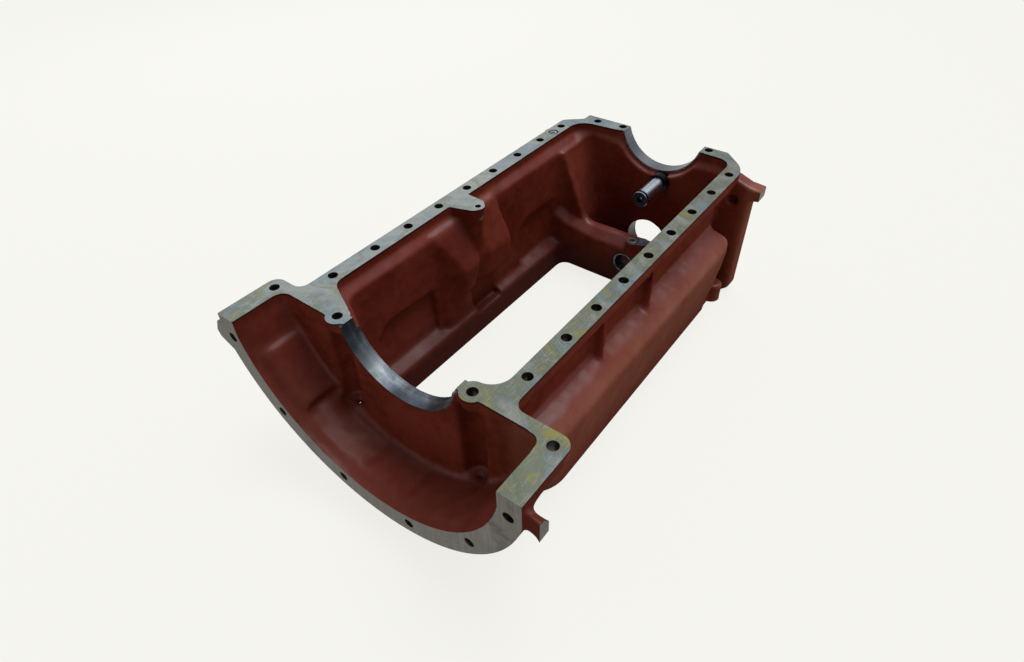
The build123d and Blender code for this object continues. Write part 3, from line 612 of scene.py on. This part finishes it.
# %% Relax
ROUNDS = 76
SOFTNESS = 0.42
HARD_REACH, FADE = 0.8 * MM, 5 * MM
SOFT_BOXES = (
    (0.30, (-0.175, 0.275, -0.190), (-0.095, 0.462, -0.030)),
    (0.58, (-0.205, 0.006, -0.225), (0.205, 0.068, -0.040)),
    (0.40, (0.128, 0.100, -0.150), (0.190, 0.655, -0.090)),
)


def relaxed(mesh, place, weight, rounds):
    """Each round moves a point by half its weight towards its neighbours' mean."""
    one, two = read(mesh.edges, "vertices", 2, np.int32).T
    count = len(place)
    degree = np.bincount(one, minlength=count) + np.bincount(two, minlength=count)
    share = 0.5 * weight / degree
    for _ in range(rounds):
        pull = np.empty_like(place)
        for axis in range(3):
            value = place[:, axis]
            total = np.bincount(one, value[two], count) + np.bincount(two, value[one], count)
            pull[:, axis] = total - degree * value
        place = place + pull * share[:, None]
    return place


def ramp(value, low, high):
    """Smooth step: 3 t squared minus 2 t cubed, t the share of the way."""
    t = np.clip((value - low) / (high - low), 0, 1)
    return t * t * (3 - 2 * t)


def within(place, low, high, edge=0.01):
    """1 inside the box, falling to 0 over the edge's width outside it."""
    share = np.ones(len(place))
    for axis in range(3):
        share *= ramp(place[:, axis], low[axis] - edge, low[axis])
        share *= 1 - ramp(place[:, axis], high[axis], high[axis] + edge)
    return share


extra = np.max([more * within(place, *box) for more, *box in SOFT_BOXES], axis=0)
softness = np.clip((from_cut - HARD_REACH) / FADE, 0, 1) * (SOFTNESS + extra)
softness[fixed] = 0
place = relaxed(skin.data, place, softness, ROUNDS)
print("softest weight", round(float(softness.max()), 2))


# %% Waves of the mould
WAVE_MM, FULL_WAVE = 0.22, 2.4


def mould_waves(place, count=48, seed=7):
    """Sum of plane waves with seeded directions: sine of the wave vector dot the
    place, plus a phase, lengths from 14 to 60 mm, scaled by root two over count."""
    rng = np.random.default_rng(seed)
    way = rng.normal(size=(count, 3))
    way /= np.linalg.norm(way, axis=1)[:, None]
    length = rng.uniform(14, 60, count) * MM
    phase = rng.uniform(0, 2 * math.pi, count)
    total = np.zeros(len(place))
    for w, size, start in zip(way, length, phase):
        total += np.sin(place @ (w * 2 * math.pi / size) + start)
    return total * math.sqrt(2 / count)


set_points(skin.data, place)
normals = read(skin.data.vertex_normals, "vector", 3)
lift = mould_waves(place) * WAVE_MM * MM * np.minimum(softness * FULL_WAVE, 1)
place = place + normals * lift[:, None]
set_points(skin.data, place)
print("mould waves up to mm", round(float(abs(lift).max()) / MM, 2))

# %% Thin the skin where it is flat
MOST_TRIANGLES = 190000
SHARP_ANGLE = math.radians(36)
thin = skin.modifiers.new("thin", "DECIMATE")
thin.ratio = MOST_TRIANGLES / (2 * len(skin.data.polygons))
thin.use_collapse_triangulate = True
applied(skin)
skin.data.shade_smooth()
skin.data.set_sharp_from_angle(angle=SHARP_ANGLE)
for helper in (edge_cloud, true_surface, cut_surface):
    bpy.data.objects.remove(helper)
print("skin triangles", len(skin.data.polygons))

# %% [markdown]
# ## Finishes by place
# The cutter's faces are known by where they lie, so each face of the skin gets
# its own material slot.  Bolt holes are found by the distance from their axes.

# %% Holes of the casting
RAIL_X = (0.13915, -0.171)
RAIL_Y = [0.1335] + [0.209 + 0.065 * i for i in range(8)]
PAIRS = ((0.213, 0.073), (0.105, 0.082), (0.080, 0.722))
SINGLES = [(-0.128, 0.717), (-0.123, 0.372)]
BOLT_R, BOLT_FOOT_Z = 6.75 * MM, -0.0405
SHAFT_HOLE_Z, SHAFT_HOLE_R, SHAFT_HOLE_Y = -0.212, 0.038, 0.690
BELL_R, BELL_STEP, BELL_FOOT_Y = 0.219, 30.6, 0.030
WALL_SLACK = 0.9 * MM
holes = [(x, y) for x in RAIL_X for y in RAIL_Y]
holes += [(side * x, y) for side in (-1, 1) for x, y in PAIRS] + SINGLES
bell_angles = [math.radians(BELL_STEP * (i - 2.5)) for i in range(6)]
bell_holes = [(BELL_R * math.sin(a), -BELL_R * math.cos(a)) for a in bell_angles]
print("holes from above", len(holes), "and in the rear face", len(bell_holes))


def bore_faces(mesh):
    """True where a face lies on the wall of a bolt hole: nearer to its axis than
    the radius plus the slack."""
    x, y, z = read(mesh.polygons, "center", 3).astype(float).T
    reach = BOLT_R + WALL_SLACK
    shaft_reach = SHAFT_HOLE_R + WALL_SLACK
    found = (np.hypot(x, z - SHAFT_HOLE_Z) < shaft_reach) & (y > SHAFT_HOLE_Y)
    for hx, hy in holes:
        found |= (np.hypot(x - hx, y - hy) < reach) & (z > BOLT_FOOT_Z)
    for hx, hz in bell_holes:
        found |= (np.hypot(x - hx, z - hz) < reach) & (y < BELL_FOOT_Y)
    return found


# %% Finishes of the skin
slots = [paint, milled, rear, rear, rear, seat_metal, seat_metal]
slots += [boss_metal, rear, bore_metal]
skin.data.materials.clear()
for material in slots:
    skin.data.materials.append(material)
finish_of = cut_faces(skin.data, 0.25 * MM)
finish_of[bore_faces(skin.data) & (finish_of == 0)] = BORE
skin.data.polygons.foreach_set("material_index", finish_of.astype(np.int32))
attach(skin, "root")
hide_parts("pan_casting")
print("faces per finish", np.bincount(finish_of, minlength=BORE + 1).tolist())

# %% [markdown]
# ## The pressed-in pieces
# The ground pin and the bush keep their solids and get a finish of their own.
# The pin is bright on its journal and black on its head; the black on the
# collar at the wall is painted shadow at the pin's foot.  Which is which
# follows from the distance to the pin's axis and from y.


# %% Ground pin
PIN_X, PIN_Z = 0.014, -0.087
PIN_HEAD_Y, COLLAR_SHADOW_Y = (0.6312, 0.6318), (0.6862, 0.6868)
EDGE_IN, EDGE_OUT, CENTRE_HOLE = (0.01285, 0.0130), (0.01385, 0.01395), (0.0026, 0.0030)
PIN_BLUE, PIN_BRIGHT = (0.62, 0.67, 0.79), (0.86, 0.90, 0.97)
PIN_BLACK_AND_SHADOW = (0.014, 0.014, 0.018)


def ground_pin():
    """Distance from the axis: root of x minus pin x squared plus z minus pin z
    squared."""
    r = Recipe("ground_pin")
    rings = r.noise(1.0, 2.0, 0.5, r.stretch((8, 1800, 8)))
    colour = r.mix(PIN_BLUE, PIN_BRIGHT, rings)
    dx, dz = r.x - PIN_X, r.z - PIN_Z
    off = (dx * dx + dz * dz).math("SQRT")
    head = 1 - r.band(r.y, *PIN_HEAD_Y)
    edges = head * r.band(off, *EDGE_IN) * (1 - r.band(off, *EDGE_OUT))
    # Painted shadow: the collar at the wall is black, as the shade at the pin's foot.
    black = (head - edges).math("MAXIMUM", r.band(r.y, *COLLAR_SHADOW_Y))
    black = black * r.band(off, *CENTRE_HOLE)
    colour = r.mix(colour, PIN_BLACK_AND_SHADOW, black)
    return r.finish(
        Base_Color=colour,
        Roughness=0.22 + rings * 0.10 + black * 0.07,
        Normal=r.bump(rings, 0.01 * MM, 0.4),
        Metallic=1.0,
    )


# %% Plug and bush
PLUG_DARK, PLUG_PALE = (0.10, 0.11, 0.11), (0.26, 0.28, 0.27)
BUSH_DARK, BUSH_PALE = (0.030, 0.032, 0.038), (0.12, 0.13, 0.14)


def turned_plug():
    r = Recipe("turned_plug")
    marks = r.noise(260.0, 3.0, 0.6)
    colour = r.mix(PLUG_DARK, PLUG_PALE, marks)
    return r.finish(Base_Color=colour, Roughness=0.3 + marks * 0.2, Metallic=0.7,
                    Normal=r.bump(marks, 0.03 * MM, 0.5))


def dull_bush():
    r = Recipe("dull_bush")
    marks = r.noise(120.0, 3.0, 0.6)
    colour = r.mix(BUSH_DARK, BUSH_PALE, r.band(marks, 0.35, 0.7))
    return r.finish(Base_Color=colour, Roughness=0.28 + marks * 0.2, Metallic=0.7,
                    Normal=r.bump(marks, 0.03 * MM, 0.5))


for node, material in (("idler_pin", ground_pin()), ("shaft_bush", dull_bush())):
    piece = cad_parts[node]
    piece.data.materials.clear()
    piece.data.materials.append(material)
    print(node, "has", material.name)

# %% [markdown]
# ## Turned pieces
# A lathe makes a cup plug and a screw's head by carrying one profile round an
# axis, and the same function makes both here.  A profile is a list of radius and
# height in millimetres.  The plug takes the place of the plain solid in the left
# rail; the screw sits in the boss of the cross beam.


# %% A profile carried round an axis
SEGMENTS = 64
TURNED_SHARP = math.radians(40)


def carried_round(profile, centre):
    """Point = centre + (radius cos a, radius sin a, height), for every angle a
    and every profile row (radius, height)."""
    radius, height = np.array(profile, float).T[:, :, None]
    angle = np.linspace(0, 2 * math.pi, SEGMENTS, endpoint=False)[None, :]
    flat = radius * np.cos(angle), radius * np.sin(angle), height + 0 * angle
    points = np.stack(flat, axis=-1) + np.array(centre)
    return points.reshape(-1, 3)


def grid_faces(rows):
    """Quads between each row and the next, all the way round."""
    row = np.arange(rows - 1)[:, None] * SEGMENTS
    col = np.arange(SEGMENTS)[None, :]
    on, up = (col + 1) % SEGMENTS, row + SEGMENTS
    return np.stack([row + col, row + on, up + on, up + col], axis=-1).reshape(-1, 4)


# %% Closed pieces
def closed_mesh(name, points, faces):
    """A mesh with doubled points joined and all its faces looking outward."""
    mesh = bpy.data.meshes.new(name)
    mesh.from_pydata(points.tolist(), [], faces)
    shape = bmesh.new()
    shape.from_mesh(mesh)
    bmesh.ops.remove_doubles(shape, verts=shape.verts, dist=1e-7)
    bmesh.ops.recalc_face_normals(shape, faces=shape.faces)
    shape.to_mesh(mesh)
    shape.free()
    print(name, len(mesh.polygons), "faces")
    return mesh


def turned_piece(name, profile, centre):
    points = carried_round(np.array(profile) * MM, centre)
    mesh = closed_mesh(name, points, grid_faces(len(profile)).tolist())
    mesh.shade_smooth()
    mesh.set_sharp_from_angle(angle=TURNED_SHARP)
    mesh.materials.append(turned_plug())
    piece = add_object(name, mesh)
    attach(piece, "root")
    return piece


# %% Cup plug in the left rail
PLUG_PROFILE = [
    (0.0, -1.9), (1.7, -1.9), (2.0, -0.5), (2.3, -0.25), (5.9, -0.25),
    (6.3, -0.6), (6.6, -2.2), (7.9, -2.2), (8.1, -0.3), (8.4, -0.02),
    (8.95, -0.5), (8.95, -16.0), (0.0, -16.0),
]
plug = turned_piece("cup_plug", PLUG_PROFILE, (-0.169, 0.637, TOP_Z))
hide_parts("rail_plug")

# %% Screw ring on the boss
SCREW_PROFILE = [
    (0.0, -1.2), (1.6, -1.3), (2.3, -2.0), (2.5, -4.5), (3.6, -4.5),
    (4.0, -1.4), (5.6, 0.7), (7.6, 0.9), (8.3, 0.4), (8.4, -0.3),
    (4.15, -0.3), (4.15, -6.5), (0.0, -6.5),
]
turned_piece("boss_screw", SCREW_PROFILE, (0.013, 0.616, BOSS_Z))

# %% [markdown]
# ## Corners of the seat's pads
# The rear seat ends under two pads.  Each pad keeps a small square corner that
# the seat's bore has cut through, so the seat meets the joint face in a straight
# line.  It is the bore's profile, carried a short way along the crank axis.  The
# solid has a lower step here, so the corners are pieces that stand on it.


# %% Pad corners
CORNER_Y = (0.0790, 0.0908)
CORNER_TOP, CORNER_FOOT, CORNER_BACK = TOP_Z + 0.05 * MM, -0.0336, 0.0975
ARC_POINTS = 9


def pad_corner(side):
    """Profile: x = side times root of seat radius squared minus z squared, from
    foot to top, closed by a box to the back; the same profile at both ends in y."""
    z = np.linspace(CORNER_FOOT, CORNER_TOP, ARC_POINTS)
    x = np.sqrt(REAR_SEAT_R ** 2 - z ** 2)
    box = [(CORNER_BACK, CORNER_TOP), (CORNER_BACK, CORNER_FOOT)]
    x, z = np.array([*zip(x, z), *box]).T
    return np.concatenate([np.stack([side * x, np.full(len(x), y), z], 1) for y in CORNER_Y])


def prism_faces(count):
    """A quad for each side of the profile, then the profile itself at both ends."""
    here = np.arange(count)
    on = (here + 1) % count
    walls = np.stack([here, on, on + count, here + count], 1).tolist()
    return walls + [here.tolist(), (here + count).tolist()]


for side, name in ((-1, "pad_corner_left"), (1, "pad_corner_right")):
    mesh = closed_mesh(name, pad_corner(side), prism_faces(ARC_POINTS + 2))
    for material in (seat_metal, milled, paint):
        mesh.materials.append(material)
    bored, top, cast = [0] * (ARC_POINTS - 1), [1], [2] * 4
    mesh.polygons.foreach_set("material_index", bored + top + cast)
    corner = add_object(name, mesh)
    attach(corner, "root")

# %% [markdown]
# ## Floor and light
# A pale floor and a wide soft light from above, with a large softbox on the
# left, show the forms.  The floor looks white to the camera and keeps the
# shadow, but throws back less light than white paper would, so the hollow stays
# dark.


# %% Floor
FLOOR_WHITE, FLOOR_GLOW = (0.913, 0.905, 0.863), 0.90
FLOOR_PALE, FLOOR_DIM = (0.10, 0.10, 0.097), (0.48, 0.48, 0.47)


def pale_floor():
    r = Recipe("pale_floor")
    seen = r.node("LightPath", out="Is Camera Ray")
    mirrored = r.node("LightPath", out="Is Glossy Ray")
    through = r.node("LightPath", out="Is Transmission Ray")
    shown = seen + through + mirrored
    glow = r.node("Emission", None, {"Color": FLOOR_WHITE, "Strength": FLOOR_GLOW})
    pale = r.node("BsdfDiffuse", None, {"Color": FLOOR_PALE})
    both = r.node("AddShader", None, {0: glow, 1: pale})
    dim = r.node("BsdfDiffuse", None, {"Color": FLOOR_DIM})
    mixed = r.node("MixShader", None, {0: shown, 1: dim, 2: both})
    r.tree.links.new(mixed.out, r.tree.nodes["Material Output"].inputs["Surface"])
    r.tree.nodes.remove(r.shader)
    return r.material


ground = bpy.data.meshes.new("floor")
half, level = 6.0, cad_low.z - 0.0002
ground.from_pydata(
    [(-half, -half, level), (half, -half, level), (half, half, level), (-half, half, level)],
    [], [(0, 1, 2, 3)],
)
floor = add_object("floor", ground)
floor.data.materials.append(pale_floor())
print("floor at", round(level, 4))

# %% Sky and lamps
SKY_COLOUR, SKY_STRENGTH = (0.88, 0.93, 1.0, 1.0), 0.35
KEY_WAY, KEY_STRENGTH, KEY_WIDTH = (0.25, 0.55, 1.60), 2.0, math.radians(40)
SOFTBOX_WAY, SOFTBOX_WATTS = (-1.75, 1.10, 1.20), 14.0
PAN_MIDDLE = Vector((0, 0.35, -0.1))
world = bpy.data.worlds.new("studio")
scene.world = world
world.use_nodes = True
sky = world.node_tree.nodes["Background"]
sky.inputs["Color"].default_value = SKY_COLOUR
sky.inputs["Strength"].default_value = SKY_STRENGTH


def lamp(name, kind, way, energy):
    """A lamp that shines from the given direction on the middle of the pan."""
    made = bpy.data.objects.new(name, bpy.data.lights.new(name, kind))
    scene.collection.objects.link(made)
    made.location = PAN_MIDDLE + Vector(way)
    made.rotation_euler = Vector(way).to_track_quat("Z", "Y").to_euler()
    made.data.energy = energy
    return made.data


key = lamp("key", "SUN", KEY_WAY, KEY_STRENGTH)
key.angle = KEY_WIDTH
softbox = lamp("softbox", "AREA", SOFTBOX_WAY, SOFTBOX_WATTS)
softbox.shape = "RECTANGLE"
softbox.size = 2.0
softbox.size_y = 1.1
print("key", key.energy, "softbox", softbox.energy)
